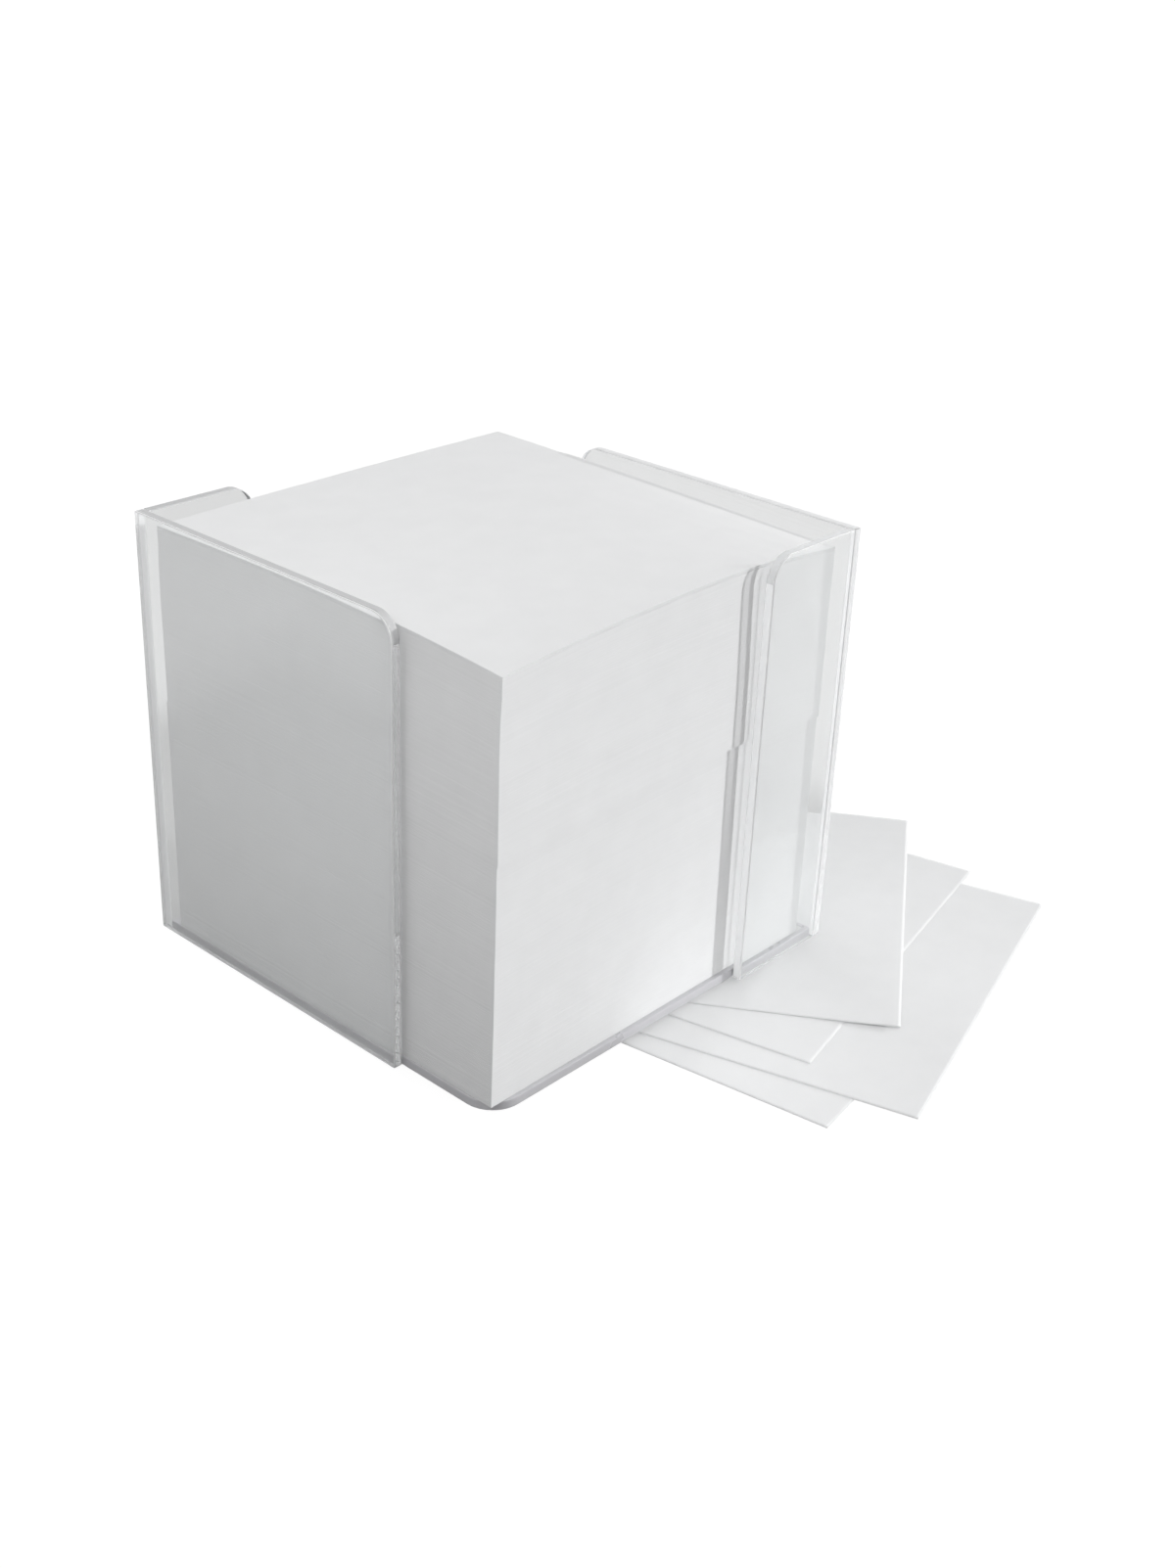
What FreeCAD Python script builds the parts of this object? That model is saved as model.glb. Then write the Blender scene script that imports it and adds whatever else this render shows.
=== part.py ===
"""Clear memo pad holder: welded acrylic plates round a stack of square note sheets.

Millimetres, +Z up.  The origin is the centre of the holder's underside.  A long wall stands on
each of the -X and +X sides and a short wall on each of the +Y and -Y sides.  Together they make
two L-shaped corners, and the other two corners stay open so that the sheets can be gripped.
"""
import FreeCAD
import Part
import Sketcher
import math
import os

# Driving dimensions in millimetres, and the counts of sheets in the two parts of the stack
DIMENSIONS = {
    "sheet_width": 90.0,
    "sheet_thickness": 0.1,
    "near_clearance": 0.8,
    "far_clearance": 3.2,
    "wall_thickness": 2.0,
    "wall_height": 91.3,
    "long_wall_length": 72.0,
    "short_wall_length": 26.7,
    "wall_corner_radius": 5.1,
    "base_thickness": 2.0,
    "base_corner_radius": 6.7,
    "lower_sheet_count": 508,
    "upper_sheet_count": 353,
}

# Single sheets on top of the stack, which come off one at a time
TOP_SHEETS = 6

# The stack is pushed towards the open front corner and its two parts stand askew: the left
# corner of each swings through this share of the clearance that is left at the near walls
LOWER_SWING_SHARE = 0.75
UPPER_SWING_SHARE = 0.4

# Loose sheets fanned out under the base, lowest first: the outer corner as shares of the
# holder's width, and the turn of the sheet in degrees
LOOSE_CORNER_SHARES = ((-0.048, -0.929), (0.097, -1.034), (0.093, -0.783), (0.322, -0.839))
LOOSE_TURNS = (8.5, 16.3, 12.8, 33.3)

# Sizes that follow from the driving dimensions
INNER_WIDTH = "(sizes.sheet_width + sizes.near_clearance + sizes.far_clearance)"
OUTER_WIDTH = f"({INNER_WIDTH} + 2 * sizes.wall_thickness)"
LOWER_HEIGHT = "(sizes.lower_sheet_count * sizes.sheet_thickness)"
UPPER_HEIGHT = "(sizes.upper_sheet_count * sizes.sheet_thickness)"
FRONT_CORNER = f"(sizes.near_clearance - {INNER_WIDTH} / 2)"
SWING = "asin(sizes.near_clearance / sizes.sheet_width)"
FACE_DOWN = "XY_Plane"
STANDING = "XZ_Plane"
QUARTER_TURN = math.pi / 2


def make_dimension_sheet(doc):
    """Put every driving dimension into a spreadsheet cell that carries its name."""
    sheet = doc.addObject("Spreadsheet::Sheet", "sizes")
    for row, (name, value) in enumerate(DIMENSIONS.items(), start=1):
        sheet.set(f"A{row}", name)
        sheet.set(f"B{row}", str(value))
        sheet.setAlias(f"B{row}", name)
    doc.recompute()


def draw_outline(sketch, width, height, radius, rounded):
    """Draw a rectangle from the sketch's origin, with some corners rounded, bound to its sizes.

    Corners count anticlockwise from the origin, which stays square.
    """
    wide = sketch.evalExpression(width)
    high = sketch.evalExpression(height)
    bend = sketch.evalExpression(radius)
    corners = [FreeCAD.Vector(x, y) for x, y in ((0, 0), (wide, 0), (wide, high), (0, high))]
    headings = [FreeCAD.Vector(x, y) for x, y in ((1, 0), (0, 1), (-1, 0), (0, -1))]
    cuts = [bend if corner in rounded else 0 for corner in range(len(corners))]
    for side, heading in enumerate(headings):
        end = (side + 1) % len(corners)
        start_point = corners[side] + heading * cuts[side]
        end_point = corners[end] - heading * cuts[end]
        sketch.addGeometry(Part.LineSegment(start_point, end_point))
        level = "Horizontal" if heading.y == 0 else "Vertical"
        sketch.addConstraint(Sketcher.Constraint(level, side))
    for corner, heading in enumerate(headings):
        before = (corner - 1) % len(corners)
        if corner in rounded:
            centre = corners[corner] + (heading - headings[before]) * bend
            circle = Part.Circle(centre, FreeCAD.Vector(0, 0, 1), bend)
            first_angle = (corner - 2) * QUARTER_TURN
            arc = sketch.addGeometry(Part.ArcOfCircle(circle, first_angle, first_angle + QUARTER_TURN))
            sketch.addConstraint(Sketcher.Constraint("Tangent", before, 2, arc, 1))
            sketch.addConstraint(Sketcher.Constraint("Tangent", arc, 2, corner, 1))
            bound = sketch.addConstraint(Sketcher.Constraint("Radius", arc, bend))
            sketch.setExpression(f"Constraints[{bound}]", radius)
        else:
            sketch.addConstraint(Sketcher.Constraint("Coincident", before, 2, corner, 1))
    sketch.addConstraint(Sketcher.Constraint("Coincident", 0, 1, -1, 1))
    bound = sketch.addConstraint(Sketcher.Constraint("DistanceX", 0, 1, 1, 1, wide))
    sketch.setExpression(f"Constraints[{bound}]", width)
    bound = sketch.addConstraint(Sketcher.Constraint("DistanceY", 0, 1, 2, 1, high))
    sketch.setExpression(f"Constraints[{bound}]", height)


def make_plate(doc, label, plane, outline, thickness, place, turn):
    """Pad a flat outline into a plate and set it in place, turned about its upright axis.

    The outline is its width, height, corner radius and rounded corners.  A standing plate's
    outline runs along X and Z and its thickness goes towards -Y, before the turn.
    """
    body = doc.addObject("PartDesign::Body", label)
    body.Label = label
    sketch = body.newObject("Sketcher::SketchObject", f"{label}_outline")
    origin_plane = next(item for item in body.Origin.OriginFeatures if item.Role == plane)
    sketch.AttachmentSupport = [(origin_plane, "")]
    sketch.MapMode = "FlatFace"
    draw_outline(sketch, *outline)
    pad = body.newObject("PartDesign::Pad", f"{label}_pad")
    pad.Profile = sketch
    pad.setExpression("Length", thickness)
    for axis, expression in zip("xyz", place):
        body.setExpression(f"Placement.Base.{axis}", expression)
    body.setExpression("Placement.Rotation.Angle", turn)
    return body


def make_holder(doc):
    """Make the base plate and the four walls that are welded round it."""
    base_outline = (INNER_WIDTH, INNER_WIDTH, "sizes.base_corner_radius", (1, 3))
    base_thickness = "sizes.base_thickness"
    base_place = (f"{INNER_WIDTH} / 2", f"-{INNER_WIDTH} / 2", "0")
    plates = [make_plate(doc, "base_plate", FACE_DOWN, base_outline, base_thickness, base_place, "90 deg")]
    long_wall = ("sizes.long_wall_length", "sizes.wall_height", "sizes.wall_corner_radius", (2,))
    short_wall = ("sizes.short_wall_length - sizes.wall_thickness",) + long_wall[1:]
    wall_thickness = "sizes.wall_thickness"
    for side, sign, half_turn in (("left", 1, 0), ("right", -1, 180)):
        corner = (f"{-sign} * {INNER_WIDTH} / 2", f"{sign} * {OUTER_WIDTH} / 2", "0")
        for reach, outline, turn in (("long", long_wall, half_turn - 90), ("short", short_wall, half_turn)):
            label = f"{side}_{reach}_wall"
            plates.append(make_plate(doc, label, STANDING, outline, wall_thickness, corner, f"{turn} deg"))
    return plates


def make_sheets(doc, label, thickness, place, turn):
    """Make one sheet, or a block of sheets, lying flat with its first corner at the given place."""
    square = ("sizes.sheet_width", "sizes.sheet_width", "sizes.sheet_thickness", ())
    return make_plate(doc, label, FACE_DOWN, square, thickness, place, turn)


def make_stack(doc):
    """Stack the two askew blocks of sheets on the base, with the single sheets on top."""
    upper_turn = f"{UPPER_SWING_SHARE} * {SWING}"
    layers = [("lower_sheets", LOWER_HEIGHT, f"{LOWER_SWING_SHARE} * {SWING}")]
    layers.append(("upper_sheets", UPPER_HEIGHT, upper_turn))
    for number in range(1, TOP_SHEETS + 1):
        layers.append((f"top_sheet_{number}", "sizes.sheet_thickness", upper_turn))
    blocks = []
    seat = "sizes.base_thickness"
    for label, thickness, turn in layers:
        blocks.append(make_sheets(doc, label, thickness, (FRONT_CORNER, FRONT_CORNER, seat), turn))
        seat = f"{seat} + {thickness}"
    return blocks


def make_loose_sheets(doc):
    """Lay the loose sheets on one another under the base, the last one against its underside."""
    sheets = []
    count = len(LOOSE_TURNS)
    for number, ((x_share, y_share), turn) in enumerate(zip(LOOSE_CORNER_SHARES, LOOSE_TURNS), start=1):
        label = f"loose_sheet_{number}"
        height = f"{number - 1 - count} * sizes.sheet_thickness"
        place = (f"{x_share} * {OUTER_WIDTH}", f"{y_share} * {OUTER_WIDTH}", height)
        sheets.append(make_sheets(doc, label, "sizes.sheet_thickness", place, f"{turn} deg"))
    return sheets


def write_parts(doc, pieces):
    """Check every object and write each piece to its own file."""
    failed = [item.Name for item in doc.Objects if {"Invalid", "Error"} & set(item.State)]
    failed += [piece.Label for piece in pieces if piece.Shape.isNull() or not piece.Shape.isValid()]
    if failed:
        raise RuntimeError(f"not built: {failed}")
    os.makedirs("parts", exist_ok=True)
    for piece in pieces:
        piece.Shape.exportStep(f"parts/{piece.Label}.step")


def main():
    """Build the holder, its stack and the loose sheets."""
    doc = FreeCAD.newDocument("memo_pad_holder")
    make_dimension_sheet(doc)
    pieces = make_holder(doc) + make_stack(doc) + make_loose_sheets(doc)
    doc.recompute()
    write_parts(doc, pieces)


main()
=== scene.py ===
"""Clear memo pad holder with its stack of note sheets, dressed and set in a plain studio.

Metres, +Z up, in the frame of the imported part.  The holder's plates, the stack and the loose sheets
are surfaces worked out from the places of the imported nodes, and each stands for its node.
"""
import logging
from dataclasses import dataclass, field
from enum import Enum, IntEnum
from typing import Any, Callable, Sequence

import bpy
import numpy as np
from mathutils import Matrix, Vector


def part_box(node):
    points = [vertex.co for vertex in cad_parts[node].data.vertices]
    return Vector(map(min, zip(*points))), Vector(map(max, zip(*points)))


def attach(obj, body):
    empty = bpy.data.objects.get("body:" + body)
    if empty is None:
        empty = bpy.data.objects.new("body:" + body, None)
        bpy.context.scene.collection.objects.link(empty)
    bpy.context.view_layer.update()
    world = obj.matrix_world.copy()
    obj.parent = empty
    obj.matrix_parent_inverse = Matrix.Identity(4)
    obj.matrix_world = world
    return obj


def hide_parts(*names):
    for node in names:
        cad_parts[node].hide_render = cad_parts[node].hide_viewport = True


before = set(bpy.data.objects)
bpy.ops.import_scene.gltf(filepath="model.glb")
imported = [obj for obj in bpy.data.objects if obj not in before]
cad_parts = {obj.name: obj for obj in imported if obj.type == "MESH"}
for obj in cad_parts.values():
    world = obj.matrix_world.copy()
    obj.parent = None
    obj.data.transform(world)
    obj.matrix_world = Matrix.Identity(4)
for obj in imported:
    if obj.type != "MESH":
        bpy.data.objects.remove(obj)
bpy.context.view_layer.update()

MM = 0.001
SEED = 20

# The range that most of a noise pattern's values lie in
NOISE_SPAN = (0.3, 0.7)

Array = np.ndarray
Pair = tuple[float, float]
Triple = tuple[float, float, float]
Socket = bpy.types.NodeSocket
Material = bpy.types.Material

log = logging.getLogger("memo_pad_holder")


# ---- Surfaces ----


@dataclass
class Surface:
    """A mesh in the making: points, faces and what each face carries.

    The faces are the quads followed by the caps, and slots and values hold one entry for each.
    """

    points: Array
    quads: Array
    caps: Sequence[Array] = ()
    slots: Array | None = None
    values: dict[str, Array] = field(default_factory=dict)
    smooth: bool = False

    def as_piece(self, name: str, finishes: Sequence[Material]) -> bpy.types.Object:
        """Put the arrays into a mesh and the mesh into the scene.

        Args:
            name: the piece's name.
            finishes: the materials that the slots count.

        Returns:
            The new object, at the origin.
        """
        corners = np.concatenate([self.quads.ravel(), *self.caps]).astype(np.int32)
        sizes = np.array([len(self.quads[0])] * len(self.quads) + [len(cap) for cap in self.caps])
        starts = np.concatenate(((0,), np.cumsum(sizes)[:-1])).astype(np.int32)
        mesh = bpy.data.meshes.new(name)
        mesh.vertices.add(len(self.points))
        mesh.vertices.foreach_set("co", self.points.astype(np.float32).ravel())
        mesh.loops.add(len(corners))
        mesh.loops.foreach_set("vertex_index", corners)
        mesh.polygons.add(len(sizes))
        mesh.polygons.foreach_set("loop_start", starts)
        mesh.polygons.foreach_set("use_smooth", np.full(len(sizes), self.smooth))
        for finish in finishes:
            mesh.materials.append(finish)
        if self.slots is not None:
            mesh.polygons.foreach_set("material_index", self.slots.astype(np.int32))
        for label, values in self.values.items():
            layer = mesh.attributes.new(label, "FLOAT", "FACE")
            layer.data.foreach_set("value", values.astype(np.float32))
        mesh.update(calc_edges=True)
        mesh.validate()
        piece = bpy.data.objects.new(name, mesh)
        bpy.context.scene.collection.objects.link(piece)
        return piece


def band_quads(rings: int, around: int) -> Array:
    """Quads between neighbouring closed rings of equally many points.

    Args:
        rings: number of rings.
        around: points in each ring.

    Returns:
        (faces, 4) point numbers; they face outwards where the rings run anticlockwise and rise.
    """
    ring = np.arange(rings - 1)[:, None] * around
    here = np.arange(around)[None, :]
    after = np.roll(here, -1, axis=1)
    quads = np.stack((ring + here, ring + after, ring + around + after, ring + around + here), axis=-1)
    return quads.reshape(-1, 4)


def grid_quads(numbers: Array) -> Array:
    """Quads of a grid of point numbers, facing up where columns run along U and rows along V."""
    quads = np.stack((numbers[:-1, :-1], numbers[:-1, 1:], numbers[1:, 1:], numbers[1:, :-1]), axis=-1)
    return quads.reshape(-1, 4)


def border(grid: Array) -> Array:
    """The entries along a grid's border, anticlockwise from its first entry."""
    return np.concatenate((grid[0, :-1], grid[:-1, -1], grid[-1, :0:-1], grid[:0:-1, 0]))


def smooth_step(share: Array) -> Array:
    """Rise from zero to one without a corner: three squares less two cubes of the clamped share."""
    share = np.clip(share, 0.0, 1.0)
    return share * share * (3 - 2 * share)


def capped_grid(ring: Array, inside: Array) -> Array:
    """Point numbers of a square grid whose border is a ring and whose inside is given.

    Args:
        ring: point numbers along the border, anticlockwise.
        inside: square array of the point numbers within.

    Returns:
        Square array, two wider than the inside.
    """
    side = len(inside) + 1
    numbers = np.empty((side + 1, side + 1), dtype=int)
    numbers[1:-1, 1:-1] = inside
    numbers[0, :-1], numbers[:-1, -1], numbers[-1, :0:-1], numbers[:0:-1, 0] = np.split(ring, 4)
    return numbers


# ---- Finishes ----


class ShaderSketch:
    """Adds and joins the nodes of one shader tree."""

    def __init__(self, tree: bpy.types.NodeTree) -> None:
        """Start on a tree."""
        self.tree = tree

    def add(self, kind: str, sockets: dict[Any, Any] | None = None, **settings: Any) -> bpy.types.Node:
        """Add a node.

        Args:
            kind: the node's type, without the shader prefix.
            sockets: what its inputs get, a value or the output that feeds them.
            settings: its other properties.

        Returns:
            The new node.
        """
        node = self.tree.nodes.new("ShaderNode" + kind)
        for label, value in settings.items():
            setattr(node, label, value)
        for label, value in (sockets or {}).items():
            if isinstance(value, Socket):
                self.tree.links.new(value, node.inputs[label])
            else:
                node.inputs[label].default_value = value
        return node

    def noise(self, vector: Socket, scale: float, detail: float = 2.0, roughness: float = 0.5) -> Socket:
        """A noise pattern's value over the surface."""
        sockets = {"Vector": vector, "Scale": scale, "Detail": detail, "Roughness": roughness}
        return self.add("TexNoise", sockets).outputs["Fac"]

    def spread(self, value: Socket, low: float, high: float, to_low: float, to_high: float) -> Socket:
        """Carry a value from one range to another, clamped at its ends."""
        sockets = {"Value": value, "From Min": low, "From Max": high, "To Min": to_low, "To Max": to_high}
        return self.add("MapRange", sockets).outputs["Result"]

    def blend(self, share: Socket, first: Sequence[float], second: Sequence[float]) -> Socket:
        """A colour between two, by a share that changes over the surface."""
        node = self.add("Mix", {0: share}, data_type="RGBA")
        node.inputs[6].default_value = (*first, 1.0)
        node.inputs[7].default_value = (*second, 1.0)
        return node.outputs[2]

    def math(self, operation: str, first: Socket | float, second: Socket | float) -> Socket:
        """One step of arithmetic."""
        return self.add("Math", {0: first, 1: second}, operation=operation).outputs[0]

    def weigh(self, values: Sequence[Socket], shares: Sequence[float]) -> Socket:
        """The sum of some values, each times its share."""
        total, *others = [self.math("MULTIPLY", value, share) for value, share in zip(values, shares)]
        for other in others:
            total = self.math("ADD", total, other)
        return total


def new_material(name: str) -> tuple[Material, ShaderSketch]:
    """An empty material and the sketch of its tree."""
    material = bpy.data.materials.new(name)
    material.use_nodes = True
    material.node_tree.nodes.clear()
    return material, ShaderSketch(material.node_tree)


def seen_by(sketch: ShaderSketch, outputs: Sequence[str]) -> Socket:
    """One for the kinds of ray that are named and zero for the rest."""
    path = sketch.add("LightPath")
    total = path.outputs[outputs[0]]
    for label in outputs[1:]:
        total = sketch.math("MAXIMUM", total, path.outputs[label])
    return total


def paper_fibre_group() -> bpy.types.NodeTree:
    """The cloudy formation and fine fibre of uncoated paper, for every paper finish.

    Returns:
        A node group with a Vector input, and Cloud and Fibre outputs from zero to one.
    """
    group = bpy.data.node_groups.new("paper_fibre", "ShaderNodeTree")
    group.interface.new_socket("Vector", in_out="INPUT", socket_type="NodeSocketVector")
    group.interface.new_socket("Cloud", in_out="OUTPUT", socket_type="NodeSocketFloat")
    group.interface.new_socket("Fibre", in_out="OUTPUT", socket_type="NodeSocketFloat")
    sketch = ShaderSketch(group)
    start = group.nodes.new("NodeGroupInput")
    end = group.nodes.new("NodeGroupOutput")
    cloud = sketch.noise(start.outputs["Vector"], scale=160.0, detail=3.0)
    bend = sketch.add("TexNoise", {"Vector": start.outputs["Vector"], "Scale": 700.0, "Detail": 1.0})
    reach = (1.2 * MM,) * 3
    pushed = sketch.add("VectorMath", {0: bend.outputs["Color"], 1: reach}, operation="MULTIPLY")
    moved = sketch.add("VectorMath", {0: start.outputs["Vector"], 1: pushed.outputs[0]}, operation="ADD")
    fibre = sketch.noise(moved.outputs[0], scale=3200.0, detail=3.0, roughness=0.65)
    group.links.new(sketch.spread(cloud, *NOISE_SPAN, 0.0, 1.0), end.inputs["Cloud"])
    group.links.new(sketch.spread(fibre, *NOISE_SPAN, 0.0, 1.0), end.inputs["Fibre"])
    return group


@dataclass(frozen=True)
class NotePaper:
    """The face of uncoated white note paper, between a pale and a dull tone."""

    name: str = "note_paper"
    pale: Triple = (0.905, 0.91, 0.915)
    dull: Triple = (0.875, 0.88, 0.885)
    roughness: float = 0.82
    shine: float = 0.28
    bump: float = 0.5
    fibre_height: float = 0.004 * MM
    shares: tuple[float, ...] = (0.6, 0.4)

    def pattern(self, sketch: ShaderSketch, place: Socket, fibre: bpy.types.Node) -> tuple[Socket, Socket]:
        """The mix of the two tones, from the paper's cloud and fibre, and the height of the fibre."""
        height = fibre.outputs["Fibre"]
        return sketch.weigh((fibre.outputs["Cloud"], height), self.shares), height

    def make(self, fibre_group: bpy.types.NodeTree) -> Material:
        """Build the material.

        Args:
            fibre_group: the shared pattern of paper fibre.

        Returns:
            A material on Object coordinates.
        """
        material, sketch = new_material(self.name)
        place = sketch.add("TexCoord").outputs["Object"]
        fibre = sketch.add("Group", node_tree=fibre_group)
        sketch.tree.links.new(place, fibre.inputs["Vector"])
        mixed, height = self.pattern(sketch, place, fibre)
        bump = sketch.add("Bump", {"Height": height, "Strength": self.bump, "Distance": self.fibre_height})
        shader = sketch.add("BsdfPrincipled", {
            "Base Color": sketch.blend(mixed, self.dull, self.pale),
            "Roughness": self.roughness,
            "Specular IOR Level": self.shine,
            "Normal": bump.outputs["Normal"],
        })
        sketch.add("OutputMaterial", {"Surface": shader.outputs["BSDF"]})
        return material


@dataclass(frozen=True)
class CutPaper(NotePaper):
    """The finish of the sheets' cut edges, each a little lighter or darker than the next."""

    name: str = "note_paper_cut_edge"
    pale: Triple = (0.9, 0.905, 0.91)
    dull: Triple = (0.85, 0.855, 0.86)
    roughness: float = 0.9
    shine: float = 0.2
    bump: float = 0.2
    fibre_height: float = 0.01 * MM
    shares: tuple[float, ...] = (0.3, 0.3, 0.4)
    streak_scale: Triple = (60.0, 60.0, 2600.0)

    def pattern(self, sketch: ShaderSketch, place: Socket, fibre: bpy.types.Node) -> tuple[Socket, Socket]:
        """The mix, from each sheet's face value "tone", streaks and cloud, and the height of the streaks."""
        stretched = sketch.add("Mapping", {"Vector": place, "Scale": self.streak_scale})
        streak = sketch.noise(stretched.outputs["Vector"], scale=1.0, detail=3.0, roughness=0.6)
        tone = sketch.add("Attribute", attribute_name="tone").outputs["Fac"]
        return sketch.weigh((tone, streak, fibre.outputs["Cloud"]), self.shares), streak


def let_lamps_through(sketch: ShaderSketch, shader: Socket, through: Socket) -> None:
    """Put a clear shader in for the light that lamps and dull surfaces send, and finish the tree.

    Args:
        sketch: the material's tree.
        shader: what the other rays meet.
        through: the clear shader.
    """
    path = sketch.add("LightPath")
    lamps = sketch.add("MixShader", {0: path.outputs["Is Shadow Ray"], 1: shader, 2: through})
    mixed = sketch.add("MixShader", {0: path.outputs["Is Diffuse Ray"], 1: lamps.outputs[0], 2: through})
    sketch.add("OutputMaterial", {"Surface": mixed.outputs[0]})


@dataclass(frozen=True)
class ClearAcrylic:
    """The polished faces of clear acrylic plate, a little smudged and not quite flat."""

    name: str = "clear_acrylic"
    tint: Triple = (0.985, 0.99, 0.99)
    shade: Triple = (0.98, 0.983, 0.983)
    index: float = 1.49
    polish: Pair = (0.0, 0.012)
    smudge_span: Pair = (0.45, 0.75)
    wave_height: float = 0.003 * MM

    def make(self) -> Material:
        """Build the material.

        Returns:
            A glass-like material that lets lamps through.
        """
        material, sketch = new_material(self.name)
        place = sketch.add("TexCoord").outputs["Object"]
        smudge = sketch.noise(place, scale=55.0, detail=4.0, roughness=0.6)
        wave = sketch.noise(place, scale=16.0, detail=1.0)
        bump = sketch.add("Bump", {"Height": wave, "Strength": 0.2, "Distance": self.wave_height})
        shader = sketch.add("BsdfPrincipled", {
            "Base Color": (*self.tint, 1.0),
            "Roughness": sketch.spread(smudge, *self.smudge_span, *self.polish),
            "IOR": self.index,
            "Transmission Weight": 1.0,
            "Normal": bump.outputs["Normal"],
        })
        through = sketch.add("BsdfTransparent", {"Color": (*self.shade, 1.0)})
        let_lamps_through(sketch, shader.outputs["BSDF"], through.outputs["BSDF"])
        return material


@dataclass(frozen=True)
class AcrylicEdge:
    """The cut and buffed edges of the plates, more or less cloudy, and darker grey on the base plate:
    painted shade for the dim look into its edges.

    Its glow is the share of the light that comes through the plate from the other side.
    """

    name: str
    clearness: float
    polish: Pair
    pale: Triple = (0.86, 0.865, 0.87)
    # Grey that the face value depth darkens an edge towards: painted shade, used on the base plate
    painted_shade_grey: Triple = (0.66, 0.655, 0.68)
    cloudiness: float = 0.12
    clear_shade: Triple = (0.98, 0.983, 0.983)
    dark_shade: Triple = (0.05, 0.05, 0.05)
    core_heights: Pair = (24 * MM, 58 * MM)
    core_ease: float = 0.6
    index: float = 1.49
    shine: float = 0.5
    glow: float = 0.0

    def make(self) -> Material:
        """Build the material.

        Returns:
            A partly clear material.  It reads the face values "depth", the share of painted shade in the
            colour, "stop", how much of the lamps' light it stops, and "core", one along the middle of an
            edge, which stops less above half height.
        """
        material, sketch = new_material(self.name)
        place = sketch.add("TexCoord").outputs["Object"]
        depth, stop, core = (sketch.add("Attribute", attribute_name=label).outputs["Fac"]
                             for label in ("depth", "stop", "core"))
        height = sketch.add("SeparateXYZ", {0: place}).outputs["Z"]
        cloud = sketch.noise(place, scale=180.0, detail=3.0)
        dullness = sketch.math("ADD", depth, sketch.spread(cloud, *NOISE_SPAN, 0.0, self.cloudiness))
        shader = sketch.add("BsdfPrincipled", {
            # Painted shade: the face value depth darkens the base plate's edges to grey
            "Base Color": sketch.blend(dullness, self.pale, self.painted_shade_grey),
            "Roughness": sketch.spread(cloud, *NOISE_SPAN, *self.polish),
            "IOR": self.index,
            "Specular IOR Level": self.shine,
            "Transmission Weight": self.clearness,
        })
        inner = sketch.add("BsdfTranslucent", {"Color": (*self.pale, 1.0)})
        lit = sketch.add("MixShader", {0: self.glow, 1: shader.outputs["BSDF"], 2: inner.outputs["BSDF"]})
        eased = sketch.math("MULTIPLY", core, sketch.spread(height, *self.core_heights, 0.0, self.core_ease))
        stopped = sketch.math("MULTIPLY", stop, sketch.math("SUBTRACT", 1.0, eased))
        shade = sketch.blend(stopped, self.clear_shade, self.dark_shade)
        through = sketch.add("BsdfTransparent", {"Color": shade})
        let_lamps_through(sketch, lit.outputs["Shader"], through.outputs["BSDF"])
        return material


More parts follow.
